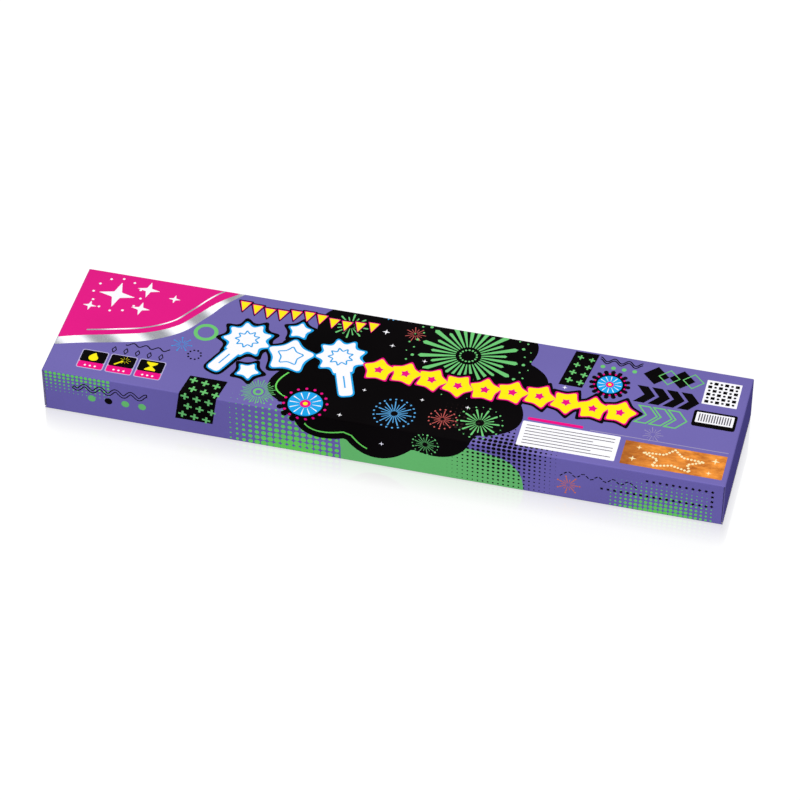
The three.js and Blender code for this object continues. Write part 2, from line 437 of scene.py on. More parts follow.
def bent_board(name, line, ends, thickness, finishes, axes="yzx", turned=False):
    """A strip of board whose printed face follows line and whose cut ends are at the given
    (low, high) for each point of it. The axes are those of across, up and along.
    The finishes are those of the printed face, the inner face and the cut edges."""
    inner = offset_line(line, thickness)
    ends = np.broadcast_to(np.asarray(ends, float), (len(line), 2))
    order = ["xyz".index(a) for a in axes]
    points = np.zeros((4 * len(line), 3))
    for k, (skin, side) in enumerate(((line, 0), (line, 1), (inner, 0), (inner, 1))):
        points[k::4, order[0]] = skin[:, 0]
        points[k::4, order[1]] = skin[:, 1]
        points[k::4, order[2]] = ends[:, side]
    faces, which = [], []
    for i in range(len(line) - 1):
        a, b = 4 * i, 4 * i + 4
        faces += [(a, b, b + 1, a + 1), (a + 2, a + 3, b + 3, b + 2)]
        faces += [(a + 1, b + 1, b + 3, a + 3), (a, a + 2, b + 2, b)]
        which += [0, 1, 2, 2]
    last = 4 * (len(line) - 1)
    faces += [(0, 1, 3, 2), (last, last + 2, last + 3, last + 1)]
    which += [2, 2]
    points = half_turn(points) if turned else points
    return piece(name, points * MM, faces, finishes, which, smooth_angle=40)


def flat_board(name, outline, place, finishes, turned):
    """A flat sheet of board; place maps the outline's plane, printed face up, to the carton."""
    count = len(outline)
    points = [tuple(place @ Vector((a, b, up))) for up in (0, -BOARD) for a, b in outline]
    faces = [tuple(range(count)), tuple(range(2 * count - 1, count - 1, -1))]
    faces += [(i, count + i, count + (i + 1) % count, (i + 1) % count) for i in range(count)]
    which = [0, 1] + [2] * count
    points = np.array(points)
    points = half_turn(points) if turned else points
    return piece(name, points * MM, faces, finishes, which)


# Flat shapes


def circle(centre, radius, sides=28):
    turn = np.arange(sides) * 2 * math.pi / sides
    return np.stack([centre[0] + radius * np.cos(turn), centre[1] + radius * np.sin(turn)], 1)


def star(centre, outer, inner, tips, turn=90.0):
    angle = math.radians(turn) + np.arange(2 * tips) * math.pi / tips
    reach = np.where(np.arange(2 * tips) % 2 == 0, outer, inner)
    return np.stack([centre[0] + reach * np.cos(angle), centre[1] + reach * np.sin(angle)], 1)


def rectangle(low, high, radius=0.0):
    corners = [(low[0], low[1]), (high[0], low[1]), (high[0], high[1]), (low[0], high[1])]
    return soften(corners, radius) if radius else np.array(corners, float)


def square(half):
    return rectangle((-half, -half), (half, half))


def grow(outline, by):
    """The outline with every side moved outwards."""
    outline = np.asarray(outline, float)
    step = np.roll(outline, -1, 0) - outline
    step /= np.linalg.norm(step, axis=1)[:, None]
    out = np.stack([step[:, 1], -step[:, 0]], 1)
    before = np.roll(out, 1, 0)
    turn = (before + out) / np.maximum(1 + (before * out).sum(1), 0.45)[:, None]
    return outline + turn * by


def curve_through(points, closed=False, steps=8):
    """A smooth line through points."""
    points = np.asarray(points, float)
    count = len(points)
    line = []
    for i in range(count if closed else count - 1):
        near = np.arange(i - 1, i + 3)
        a, b, c, d = points[near % count if closed else np.clip(near, 0, count - 1)]
        for t in np.arange(steps) / steps:
            bend = (2 * a - 5 * b + 4 * c - d) * t**2 + (3 * b - a - 3 * c + d) * t**3
            line.append(0.5 * (2 * b + (c - a) * t + bend))
    if not closed:
        line.append(points[-1])
    return np.array(line)


def ribbon(line, thickness, closed=False):
    """A line drawn with a pen: its points and faces. The thickness may change along it."""
    line = np.asarray(line, float)
    half = np.broadcast_to(np.asarray(thickness, float) / 2, len(line))[:, None]
    if closed:
        ring = np.vstack([line[-1:], line, line[:1]])
        left, right = offset_line(ring, 1.0)[1:-1] - line, offset_line(ring, -1.0)[1:-1] - line
    else:
        left, right = offset_line(line, 1.0) - line, offset_line(line, -1.0) - line
    points = np.vstack([line + right * half, line + left * half])
    count = len(line)
    pairs = [(i, (i + 1) % count) for i in range(count if closed else count - 1)]
    return points, [(a, b, count + b, count + a) for a, b in pairs]


def placed(outline, centre=(0, 0), turn=0.0, scale=1.0):
    c, s = math.cos(math.radians(turn)), math.sin(math.radians(turn))
    return np.asarray(outline, float) * scale @ np.array(((c, s), (-s, c))) + centre


def wave(first, last, step, middle, swing, rate):
    """A sine line at a height of middle, from first to last."""
    places = np.arange(first, last, step)
    return np.stack([places, middle + swing * np.sin(places * rate)], 1)


# The carton's board

TOUCH = 0.01  # how near to a face still counts as on it
CORNER_SETBACK = 0.12  # of a wall's cut end, round the long creases
SHOULDER_RUN = 0.15  # over which a wall's cut end steps back to a dust flap's fold
GLUE_FLAP_HEIGHT = 14.0
GLUE_FLAP_SETBACK = 1.1
GLUE_FLAP_TAPER = 8.0


def tube_end(across, up):
    """Where the tube's wall is cut off, from the middle of the carton."""
    on_flat = abs(across) <= width / 2 - CREASE + TOUCH
    if up > height - TOUCH and on_flat:
        return half_length - FOLD
    if up < TOUCH and on_flat:
        return half_length
    if up > height - CREASE or up < CREASE:
        return half_length - CORNER_SETBACK
    if flap_low[2] <= up <= flap_high[2]:
        return half_length - 2 * FOLD
    return half_length - FOLD


def carton_tube():
    """One blank: the back wall, the top, the front wall, the bottom and the glue flap."""
    side = width / 2
    inside = side - BOARD - 0.02
    low, high = flap_low[2], flap_high[2]
    shoulders = [low - SHOULDER_RUN, low + TOUCH, high - TOUCH, high + SHOULDER_RUN]
    back = [(side, 0.14, 0)] + [(side, up, 0) for up in shoulders]
    front = [(-side, up, 0) for up in reversed(shoulders)]
    top = [(side, height, CREASE), (-side, height, CREASE)]
    bottom = [(-side, 0, CREASE), (inside, 0, CREASE), (inside, BOARD + GLUE_FLAP_HEIGHT, 0)]
    line = rounded_path(back + top + front + bottom)
    ends = np.array([tube_end(*place) for place in line])
    glue_flap = np.arange(len(line)) > len(line) - 11
    ends[glue_flap & (line[:, 1] > TOUCH)] = half_length - GLUE_FLAP_SETBACK
    ends[-1] -= GLUE_FLAP_TAPER
    finishes = [ink["purple"], raw_board, cut_edge]
    made = bent_board("carton_board_tube", line, np.stack([-ends, ends], 1), BOARD, finishes)
    for face in made.data.polygons:
        middle = face.center / MM
        if face.material_index == 2 and inside - 0.6 < middle.y < inside + 0.1 and middle.z > 1:
            face.material_index = 1  # no ink reaches the glue flap's cut ends
    attach(made, "carton", "carton_tube")


FACING_END = Matrix(((0, 0, 1, 0), (1, 0, 0, 0), (0, 1, 0, 0), (0, 0, 0, 1)))  # a flat outline to +X
LEAD = 5.0  # straight board before a fold's corner, only to give its direction
PANEL_LAP = 0.22  # of the end panel over the walls' ends, at each side
TAB_REACH = 10.5  # from the lower fold's corner to the tab's free edge
TAB_RUN = 1.0  # of the lower fold along the panel and along the tab
TAB_TAPER = 1.75  # at each side, towards the free edge
TAB_CORNER = 7.0
FLAP_STEP = 3.0  # a dust flap's lower edge steps up by this much past its fold
FLAP_CORNER = 3.0
FLAP_SLOPE = 0.56  # its upper edge falls by this share of its length
FLAP_RUN = 0.56  # of its fold, round the wall's end

half_panel = panel_high[1] + PANEL_LAP
half_tab = tab_high[1]
panel_foot = panel_low[2]
tab_tilt = math.acos((half_length - tab_low[0] - 0.02) / TAB_REACH)


def fold_skin(name, corners, ends, axes, turned, finishes, backwards=False):
    """The board that runs round a fold between two flat pieces.
    Where it runs backwards, the ends worked out for the fold are swapped, but nothing uses them."""
    line = rounded_path(corners, 12)[1:-1]
    made = bent_board(name, line, ends(line), BOARD, finishes, axes, turned)
    order = ["xyz".index(a) for a in axes]
    first, last = np.zeros(3), np.zeros(3)
    first[order[:2]], last[order[:2]] = line[0], line[-1]
    inner = offset_line(line, BOARD)[0]
    chord = line[-1] - line[0]
    margin = (inner - line[0]) @ chord / (chord @ chord)
    start, end = first + (last - first) * margin, last - (last - first) * margin
    if turned:
        start, end = half_turn(start), half_turn(end)
    if backwards:
        start, end = end, start
    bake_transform(made)


def widening(line, start, run, before, after):
    """Cut ends from before to after, in mm from the middle, as the line falls by run from start."""
    half = before + (after - before) * np.clip((start - line[:, 0]) / run, 0, 1)
    return np.stack([-half, half], 1)


def end_closure(end, turned):
    """The end panel, its tuck tab, two dust flaps and the folds that join them to the tube."""
    plain = [ink["matt_purple"], raw_board, cut_edge]
    printed = [ink["left_panel"], raw_board, cut_edge] if turned else plain
    panel, tab = f"{end}_end_panel", f"{end}_tuck_tab"
    bend_top = panel_foot + TAB_RUN

    outline = rectangle((-half_panel, bend_top), (half_panel, height - FOLD))
    place = Matrix.Translation((half_length, 0, 0)) @ FACING_END
    made = flat_board(f"{end}_end_board", outline, place, printed, turned)
    attach(made, panel, panel)

    tip = half_tab - TAB_TAPER
    corners = [(half_tab, TAB_RUN), (tip, TAB_REACH), (-tip, TAB_REACH), (-half_tab, TAB_RUN)]
    near = corner_arc(*corners[:3], TAB_CORNER, 8)
    far = corner_arc(*corners[1:], TAB_CORNER, 8)
    outline = [corners[0], *near, *far, corners[3]]
    c, s = math.cos(tab_tilt), math.sin(tab_tilt)
    place = Matrix(((0, -c, -s, half_length), (-1, 0, 0, 0), (0, s, -c, panel_foot), (0, 0, 0, 1)))
    made = flat_board(f"{end}_tuck_board", outline, place, plain, turned)
    attach(made, tab, tab)

    def top_ends(line):
        return widening(line, height, FOLD, width / 2 - CREASE, half_panel)

    def tab_ends(line):
        return widening(line, bend_top, TAB_RUN, half_panel, half_tab)

    hinge = [(height, half_length - LEAD, 0), (height, half_length, FOLD), (panel_foot, half_length, 0)]
    fold_skin(f"{end}_top_fold", hinge, top_ends, "zxy", turned, printed)
    hinge = [(height, half_length, 0), (panel_foot, half_length, TAB_RUN)]
    hinge.append((panel_foot + LEAD * s, half_length - LEAD * c, 0))
    fold_skin(f"{end}_tuck_fold", hinge, tab_ends, "zxy", turned, plain)

    near, far = ("back", "front") if turned else ("front", "back")
    dust_flap(f"{end}_{near}", -1, turned, plain)
    dust_flap(f"{end}_{far}", 1, turned, plain)


def dust_flap(name, side, turned, finishes):
    """A flap folded in behind the end panel from a side wall's edge; side is -1 or 1 along Y."""
    face, low, high = flap_high[0], flap_low[2], flap_high[2]
    length = width / 2 + flap_high[1]
    step_top = low + FLAP_STEP
    fall = FLAP_SLOPE * (length - FOLD)
    flap = [(FOLD, low), (FOLD + FLAP_STEP, step_top), (length, step_top)]
    flap += [(length, high - fall), (FOLD, high)]
    lower = corner_arc(*flap[1:4], FLAP_CORNER, 6)
    upper = corner_arc(*flap[2:5], FLAP_CORNER, 6)
    outline = [(across - width / 2, up) for across, up in [*flap[:2], *lower, *upper, flap[4]]]
    if side > 0:
        outline = [(-a, b) for a, b in reversed(outline)]
    node = f"{name}_dust_flap"
    place = Matrix.Translation((face, 0, 0)) @ FACING_END
    made = flat_board(f"{name}_dust_board", outline, place, finishes, turned)
    attach(made, node, node)

    edge = side * width / 2
    hinge = [(face - LEAD, edge, 0), (face - FOLD, edge, 0), (face, edge, FLAP_RUN)]
    hinge += [(face, edge - side * FOLD, 0), (face, edge - side * LEAD, 0)]
    hinge = hinge[::-side]

    def ends(line):
        return low, high

    fold_skin(f"{name}_dust_fold", hinge, ends, "xyz", turned, finishes, side > 0)


carton_tube()
end_closure("right", False)
end_closure("left", True)


# Patterns made by Geometry Nodes


class Pattern(Nodes):
    """A Geometry Nodes tree with named inputs, ending in Realize Instances and Set Material.
    Its sizes and counts are given as names, with _ for a space."""

    def __init__(self, name, sizes, counts, **others):
        super().__init__(bpy.data.node_groups.new(name, "GeometryNodeTree"))
        interface = self.tree.interface
        interface.new_socket("Geometry", in_out="INPUT", socket_type="NodeSocketGeometry")
        kinds = dict.fromkeys(sizes.split(), "Float") | dict.fromkeys(counts.split(), "Int")
        kinds |= {"Material": "Material"} | others
        self.sockets = {}
        for label, kind in kinds.items():
            plain = label.replace("_", " ")
            made = interface.new_socket(plain, in_out="INPUT", socket_type="NodeSocket" + kind)
            self.sockets[label] = made.identifier
        interface.new_socket("Geometry", in_out="OUTPUT", socket_type="NodeSocketGeometry")
        self.given = self.tree.nodes.new("NodeGroupInput").outputs

    def index(self):
        return self.node("GeometryNodeInputIndex").outputs[0]

    def repeat(self, points, size, angle=None):
        """Ends the tree with the motif set on points, turned by angle."""
        motif = self.node("GeometryNodeObjectInfo", {"Object": self.given["Motif"]})
        sizes = {"Points": points, "Instance": motif.outputs["Geometry"]}
        sizes["Scale"] = self.join(size, size, size)
        if angle is not None:
            turn = self.node("FunctionNodeEulerToRotation", {0: self.join(0.0, 0.0, angle)})
            sizes["Rotation"] = turn.outputs[0]
        self.end(self.node("GeometryNodeInstanceOnPoints", sizes).outputs[0])

    def end(self, geometry, parts=None):
        """Ends the tree with its material on all of it, and with others on the parts selected."""
        made = self.node("GeometryNodeRealizeInstances", {"Geometry": geometry}).outputs[0]
        for label, selection in {"Material": True, **(parts or {})}.items():
            sizes = {"Geometry": made, "Selection": selection, "Material": self.given[label]}
            made = self.node("GeometryNodeSetMaterial", sizes).outputs[0]
        self.put(self.tree.nodes.new("NodeGroupOutput").inputs[0], made)

    def run(self, name, start=None, **settings):
        """The tree's result on start, as a plain mesh."""
        base = start or bpy.data.meshes.new(name + "_start")
        holder = add_object(name + "_holder", base)
        modifier = holder.modifiers.new("pattern", "NODES")
        modifier.node_group = self.tree
        for label, value in settings.items():
            modifier[self.sockets[label]] = value
        graph = bpy.context.evaluated_depsgraph_get()
        mesh = bpy.data.meshes.new_from_object(holder.evaluated_get(graph))
        holder.modifiers.clear()
        bpy.data.objects.remove(holder)
        bpy.data.meshes.remove(base)
        return mesh


def halftone_tree():
    """Rows of a motif that grows or shrinks from the first row to the last."""
    sizes = "Pitch Stagger First_Size Last_Size Side_Fade Least_Size"
    tree = Pattern("print_halftone", sizes, "Columns Rows", Motif="Object")
    given, index = tree.given, tree.index()
    column = tree.math("MODULO", index, given["Columns"])
    row = tree.math("FLOOR", tree.math("DIVIDE", tree.math("ADD", index, 0.01), given["Columns"]))
    shift = tree.times(tree.math("MODULO", row, 2.0), given["Stagger"])
    x = tree.times(tree.math("ADD", column, shift), given["Pitch"])
    place = tree.join(x, tree.times(row, given["Pitch"]))
    sizes = {"Count": tree.times(given["Columns"], given["Rows"]), "Position": place}
    points = tree.node("GeometryNodePoints", sizes).outputs[0]
    last_row = tree.minus(given["Rows"], 1.0)
    size = tree.ramp(row, 0.0, last_row, given["First Size"], given["Last Size"])
    across = tree.ramp(column, 0.0, tree.minus(given["Columns"], 1.0), -1.0, 1.0)
    fade = tree.times(tree.times(across, across), given["Side Fade"])
    sizes = {"Geometry": points, "Name": "size", "Value": tree.times(size, tree.minus(1.0, fade))}
    stored = tree.node("GeometryNodeStoreNamedAttribute", sizes).outputs[0]
    kept = tree.node("GeometryNodeInputNamedAttribute", {"Name": "size"}, data_type="FLOAT")
    kept = kept.outputs["Attribute"]
    sizes = {0: kept, 1: given["Least Size"]}
    small = tree.node("FunctionNodeCompare", sizes, data_type="FLOAT", operation="LESS_THAN")
    sizes = {"Geometry": stored, "Selection": small.outputs[0]}
    points = tree.node("GeometryNodeDeleteGeometry", sizes, domain="POINT").outputs[0]
    tree.repeat(points, kept)
    return tree


def burst_tree():
    """A motif repeated round a centre, its X axis pointing outwards."""
    tree = Pattern("print_burst", "Radius Size Turn Every_Other", "Count", Motif="Object")
    given, index = tree.given, tree.index()
    share = tree.math("DIVIDE", index, given["Count"])
    angle = tree.math("MULTIPLY_ADD", share, 2 * math.pi, given["Turn"])
    x = tree.times(tree.math("COSINE", angle), given["Radius"])
    y = tree.times(tree.math("SINE", angle), given["Radius"])
    sizes = {"Count": given["Count"], "Position": tree.join(x, y)}
    points = tree.node("GeometryNodePoints", sizes).outputs[0]
    odd = tree.math("MODULO", index, 2.0)
    change = tree.minus(given["Every Other"], given["Size"])
    tree.repeat(points, tree.math("MULTIPLY_ADD", odd, change, given["Size"]), angle)
    return tree


def trail_tree():
    """A motif repeated along a line, turned with it."""
    tree = Pattern("print_trail", "Spacing Size", "", Motif="Object")
    curve = tree.node("GeometryNodeMeshToCurve", {"Mesh": tree.given["Geometry"]}).outputs[0]
    sizes = {"Curve": curve, "Length": tree.given["Spacing"]}
    found = tree.node("GeometryNodeCurveToPoints", sizes, mode="LENGTH").outputs
    x, y, _ = tree.split(found["Tangent"])
    tree.repeat(found["Points"], tree.given["Size"], tree.math("ARCTAN2", y, x))
    return tree


halftone_pattern = halftone_tree()
burst_pattern = burst_tree()
trail_pattern = trail_tree()


def motif(name, outline):
    mesh = bpy.data.meshes.new("motif_" + name)
    mesh.from_pydata([(x, y, 0) for x, y in outline], [], [tuple(range(len(outline)))])
    return add_object("motif_" + name, mesh)


def plus_outline(arm=0.5, half=0.13):
    quarter = [(arm, -half), (arm, half), (half, half)]
    return [placed([p], turn=90 * k)[0] for k in range(4) for p in quarter]


OUTLINES = {
    "dot": circle((0, 0), 0.5, 10),
    "disc": circle((0, 0), 0.5, 18),
    "square": square(0.5),
    "plus": plus_outline(),
    "ray": [(0, -0.03), (1, -0.045), (1, 0.045), (0, 0.03)],
    "wedge": [(0, -0.02), (0.93, -0.07), (1, 0), (0.93, 0.07), (0, 0.02)],
    "spark": star((0, 0), 0.5, 0.13, 4, 0),
    "dash": rectangle((-0.5, -0.16), (0.5, 0.16)),
    "arrow": [(-0.5, -0.5), (0, -0.5), (0.5, 0), (0, 0.5), (-0.5, 0.5), (0, 0)],
}
MOTIFS = {name: motif(name, outline) for name, outline in OUTLINES.items()}


# Printing on the carton

END_MARGIN = 0.05  # ink stops this far from a wall's cut end
BOTTOM_MARGIN = 2.0  # and this far from the bottom's back crease
BACK_MARGIN = 0.6  # and this far from the back wall's lower crease
CREASE_CUTS = [c + CREASE * k for c in (-height, 0.0, width) for k in (-1, -0.5, 0, 0.5, 1)]
LOWEST = -height - width + BOTTOM_MARGIN
HIGHEST = width + height - BACK_MARGIN
LONG_CUTS = [*CREASE_CUTS, LOWEST, HIGHEST]
END_CUTS = [side * (half_length - k * FOLD - END_MARGIN) for side in (-1, 1) for k in (1, 2)]


def on_carton(flat, rise):
    """Places on the unfolded print, in mm, as places on the carton, rise mm outside its board.
    The second number is 0 at the front crease, the carton's width at the back one, and below 0
    down the front wall."""
    u, v = flat[:, 0], flat[:, 1]
    theta = np.full(len(flat), 270.0)
    for crease in (-height, 0.0, width):
        theta -= 90 * np.clip((v - crease + CREASE) / (2 * CREASE), 0, 1)
    theta = np.radians(theta)
    side, end = width / 2 - CREASE, height - CREASE
    across = np.where(v > 0, np.clip(v - width / 2, -side, side), -side)
    across = np.where(v < -height, np.clip(-height - v - width / 2, -side, side), across)
    up = np.where(v <= 0, np.clip(height + v, CREASE, end), end)
    up = np.where(v > width, np.clip(height - v + width, CREASE, end), up)
    out = CREASE + rise
    return np.stack([u, across + out * np.cos(theta), up + out * np.sin(theta)], 1)


def beyond_print(u, v):
    """Whether a place is past the cut ends of its wall."""
    on_flat = CREASE < v < width - CREASE or v < -height - CREASE
    limit = half_length - (1 if on_flat else 2) * FOLD - END_MARGIN
    return abs(u) > limit or not LOWEST < v < HIGHEST


def split_at_creases(nets):
    """Cuts the flat shapes where the board bends, and drops what lies past its ends."""
    sheet = bmesh.new()
    for points, faces in nets:
        corners = [sheet.verts.new((x, y, 0)) for x, y in points]
        for face in faces:
            sheet.faces.new([corners[i] for i in face])
    cuts = [((0, v, 0), (0, 1, 0)) for v in LONG_CUTS]
    cuts += [((u, 0, 0), (1, 0, 0)) for u in END_CUTS]
    for place, across in cuts:
        everything = [*sheet.verts, *sheet.edges, *sheet.faces]
        bmesh.ops.bisect_plane(sheet, geom=everything, dist=1e-5, plane_co=place, plane_no=across)
    gone = []
    for face in sheet.faces:
        middle = face.calc_center_median()
        if beyond_print(middle.x, middle.y) or face.calc_area() < 1e-6:
            gone.append(face)
    bmesh.ops.delete(sheet, geom=gone, context="FACES")
    sheet.verts.index_update()
    points = np.array([tuple(v.co[:2]) for v in sheet.verts])
    faces = [[v.index for v in face.verts] for face in sheet.faces]
    sheet.free()
    return points, faces


def covers(outline, place):
    """Whether a place lies inside an outline."""
    x, y = place
    ahead = np.roll(outline, -1, 0)
    crossed = (outline[:, 1] > y) != (ahead[:, 1] > y)
    start, end = outline[crossed], ahead[crossed]
    reach = start[:, 0] + (y - start[:, 1]) / (end[:, 1] - start[:, 1]) * (end[:, 0] - start[:, 0])
    return np.count_nonzero(reach > x) % 2 == 1


def touching_groups(nets):
    """Lists of the flat shapes whose boxes overlap, straight or through others."""
    boxes = np.array([[*points.min(0), *points.max(0)] for points, _ in nets])
    group = list(range(len(nets)))

    def leader(i):
        while group[i] != i:
            i = group[i]
        return i

    for i, (left, low, right, high) in enumerate(boxes):
        rest = boxes[i + 1 :]
        near = (rest[:, 0] < right) & (rest[:, 2] > left) & (rest[:, 1] < high) & (rest[:, 3] > low)
        for j in np.nonzero(near)[0]:
            group[leader(i + 1 + j)] = leader(i)
    members = {}
    for i, net in enumerate(nets):
        members.setdefault(leader(i), []).append(net)
    return members.values()


def joined_where_touching(nets):
    """Flat shapes of one ink that overlap, made into one net without the overlap."""
    result = []
    for together in touching_groups(nets):
        if len(together) == 1:
            result += together
            continue
        corners, faces = [], []
        for points, net in together:
            faces += [[i + len(corners) for i in face] for face in net]
            corners += [Vector(p) for p in points]
        made = delaunay_2d_cdt(corners, [], faces, 1, 1e-4, True)
        places = np.array([tuple(p) for p in made[0]])
        outlines = [np.array([corners[i] for i in face]) for face in faces]
        kept = []
        for face, sources in zip(made[2], made[5]):
            middle = places[list(face)].mean(0)
            if any(covers(outlines[k], middle) for k in sources):
                kept.append(list(face))
        result.append((places, kept))
    return result


class Ink:
    """One printed layer: thin closed shapes of one ink, folded with the board they lie on."""

    def __init__(self, name, colour, level):
        self.name, self.colour, self.level = name, colour, level
        self.nets = []

    def shape(self, outline):
        self.nets.append((np.asarray(outline, float), [tuple(range(len(outline)))]))
        return self

    def line(self, points, thickness, closed=False):
        self.nets.append(ribbon(points, thickness, closed))
        return self

    def pattern(self, tree, motif, place=(0, 0), turn=0.0, start=None, **settings):
        """Adds every shape that a Geometry Nodes tree makes."""
        settings |= {"Motif": MOTIFS[motif], "Material": ink[self.colour]}
        mesh = tree.run(self.name, start, **settings)
        points = placed([v.co[:2] for v in mesh.vertices] or np.zeros((0, 2)), place, turn)
        for face in mesh.polygons:
            self.shape(points[list(face.vertices)])
        bpy.data.meshes.remove(mesh)
        return self

    def halftone(self, motif, place, columns, rows, pitch, sizes, turn=0.0, stagger=0.0, fade=0.0):
        """Columns and rows from place, sized from the first row to the last; fade thins the sides."""
        return self.pattern(
            halftone_pattern, motif, place, turn, Columns=columns, Rows=rows, Pitch=pitch,
            Stagger=stagger, First_Size=sizes[0], Last_Size=sizes[1], Side_Fade=fade,
            Least_Size=0.22,
        )

    def burst(self, motif, centre, count, radius, size, other=None, turn=0.0):
        """Count motifs from radius outwards; every second one has the other size."""
        other = size if other is None else other
        return self.pattern(
            burst_pattern, motif, centre, Count=count, Radius=float(radius), Size=float(size),
            Turn=math.radians(turn), Every_Other=float(other),
        )

    def trail(self, motif, line, spacing, size):
        start = bpy.data.meshes.new(self.name + "_line")
        count = len(line)
        start.from_pydata([(x, y, 0) for x, y in line], [(i, i + 1) for i in range(count - 1)], [])
        return self.pattern(trail_pattern, motif, start=start, Spacing=spacing, Size=size)

    def lay(self):
        """Makes the layer, and lets it ride with the carton's walls."""
        crossing, plain = [], []
        for points, faces in joined_where_touching(self.nets):
            (left, low), (right, high) = points.min(0), points.max(0)
            cut = any(low < v < high for v in LONG_CUTS) or any(left < u < right for u in END_CUTS)
            if cut:
                crossing.append((points, faces))
            elif not beyond_print((left + right) / 2, (low + high) / 2):
                plain.append((points, faces))
        if crossing:
            plain.append(split_at_creases(crossing))
        flat, faces = [], []
        for points, net in plain:
            faces += [[i + len(flat) for i in face] for face in net]
            flat.extend(points)
        flat = np.array(flat)
        top = on_carton(flat, self.level * PRINT_STEP)
        under = on_carton(flat, -PRINT_SINK)
        count = len(flat)
        edges = {(a, b) for face in faces for a, b in zip(face, face[1:] + face[:1])}
        rim = sorted((a, b) for a, b in edges if (b, a) not in edges)
        closed = faces + [[i + count for i in reversed(face)] for face in faces]
        closed += [[a + count, b + count, b, a] for a, b in rim]
        made = piece(self.name, np.vstack([top, under]) * MM, closed, [ink[self.colour]])
        attach(made, "carton")


# The print. Places are (along, across) on the unfolded print; each ink has its level in the stack.


def spark(centre, size, waist=0.3):
    """A star with four points."""
    return star(centre, size, size * waist, 4)


def bursts(name, colour, level, *rows):
    """A layer of bursts. A row is what Ink.burst takes: its motif, centre, count, radius and size,
    then the size of every second one and the turn in degrees where they matter."""
    layer = Ink(name, colour, level)
    for row in rows:
        layer.burst(*row)
    layer.lay()


def outlined(shapes, layers):
    """Rounded shapes in several inks, each grown out from under the next. A shape is an outline
    and its rounding; a layer is a name, a colour, a level, the growth, more rounding and a shift."""
    for name, colour, level, by, more, shift in layers:
        layer = Ink(name, colour, level)
        for outline, rounding in shapes:
            layer.shape(soften(grow(outline, by), rounding + more) + shift)
        layer.lay()


CORNER_EDGE = (
    (-190, 24), (-176, 29), (-158, 34), (-140, 40), (-125, 50), (-116, 63), (-108, 76), (-96, 90),
    (-90, 104), (-92, 118),
)
CORNER_SPARKS = (
    ((-166, 68), 10.5), ((-150, 60), 5.5), ((-150, 76), 6.5), ((-178, 56), 4), ((-134, 72), 3.5),
)  # centre and size


def corner_field():
    """The magenta corner with its silver ribbon, and small white sparks."""
    edge = curve_through(CORNER_EDGE)
    Ink("print_magenta_corner", "magenta", 1).shape([*edge, (-190, 118)]).lay()
    middle = edge[:-14]
    swell = np.interp(np.linspace(0, 1, len(middle)), (0, 0.35, 0.75, 1), (5.6, 6.8, 5.2, 0.8))
    silver = Ink("print_silver_ribbon", "silver", 2).line(offset_line(middle, -1.0), swell)
    silver.line(offset_line(middle, 6.5)[10:-6], 0.9).lay()
    sparks = Ink("print_corner_sparks", "white", 2)
    for centre, size in CORNER_SPARKS:
        sparks.shape(soften(spark(centre, size), size * 0.06, 2))
    sparks.burst("dot", CORNER_SPARKS[0][0], 12, 13.5, 1.5).lay()


NIGHT_SPECKS = (
    (-14, 74, 2.2), (80, 38, 1.8), (-8, 64, 1.5), (12, 56, 1.5), (52, 100, 1.8), (-22, 4, 1.5),
    (84, 20, 1.5), (18, 26, 1.3), (2, -12, 1.5), (43, 26, 1.4), (-14, 26, 1.3), (90, 54, 1.5),
)  # along, across, size


def cloud_outline(sides=220):
    """A puff of smoke across the top that hangs over the front crease."""
    turn = np.arange(sides) * 2 * math.pi / sides
    lobe = 0.90 + 0.13 * np.abs(np.sin(turn * 5.5 + 0.4))
    along, up = 72 * lobe * np.cos(turn), 64 * lobe * np.sin(turn)
    return np.stack([6 + along + 0.18 * up, 43 + up - 0.05 * along], 1)


def night_cloud():
    """A black cloud with a bright rim, bursts of three colours and white specks."""
    outline = cloud_outline()
    Ink("print_night_cloud", "black", 3).shape(outline).lay()
    Ink("print_cloud_rim", "bright_green", 4).line(grow(outline, -4.5)[118:165], 0.9).lay()
    big, right, hanging = (34, 66), (52, 16), (26, -7)
    bursts(
        "print_green_bursts", "green", 4.6,
        ("wedge", big, 30, 7.0, 20.5, 14),
        ("dot", big, 30, 30.5, 1.9, 1.1),
        ("dot", big, 30, 34.0, 1.2, 0.8, 6),
        ("dot", big, 15, 4.6, 1.2),
        ("wedge", (-34, 74), 16, 2.0, 8.0, 5.6),
        ("wedge", right, 20, 2.4, 8.4, 5.4, 4),
        ("dot", right, 20, 12.2, 1.1, 0.7, 4),
        ("dot", hanging, 18, 7.0, 1.1, 0.7),
        ("ray", hanging, 18, 1.6, 4.4, 3.2),
    )
    blue = Ink("print_blue_bursts", "sky", 4.7)
    for centre, size in (((6, 12), 1.15), ((-14, 94), 1.0)):
        blue.burst("ray", centre, 22, 1.7 * size, 6.6 * size, 4.6 * size)
        blue.burst("dot", centre, 22, 9.6 * size, 1.0 * size)
    blue.lay()
    bursts(
        "print_rose_bursts", "orange", 4.8,
        ("ray", (32, 14), 16, 1.2, 5.2, 3.4),
        ("dot", (32, 14), 16, 7.4, 1.0),
        ("ray", (2, 76), 14, 1.2, 4.6, 3.2),
    )
    specks = Ink("print_night_specks", "white", 4.9)
    for along, across, size in NIGHT_SPECKS:
        specks.shape(spark((along, across), size))
    specks.lay()


HELD = (((-86, 50.0), -24, 0.84), ((-33, 48.5), 20, 0.86))  # centre, lean in degrees, size
HEAD_TIPS = 9
MIDDLE_STAR = (-60, 42.5)
STROKE = 0.8


def downwards(lean):
    return np.array((math.sin(math.radians(lean)), -math.cos(math.radians(lean))))


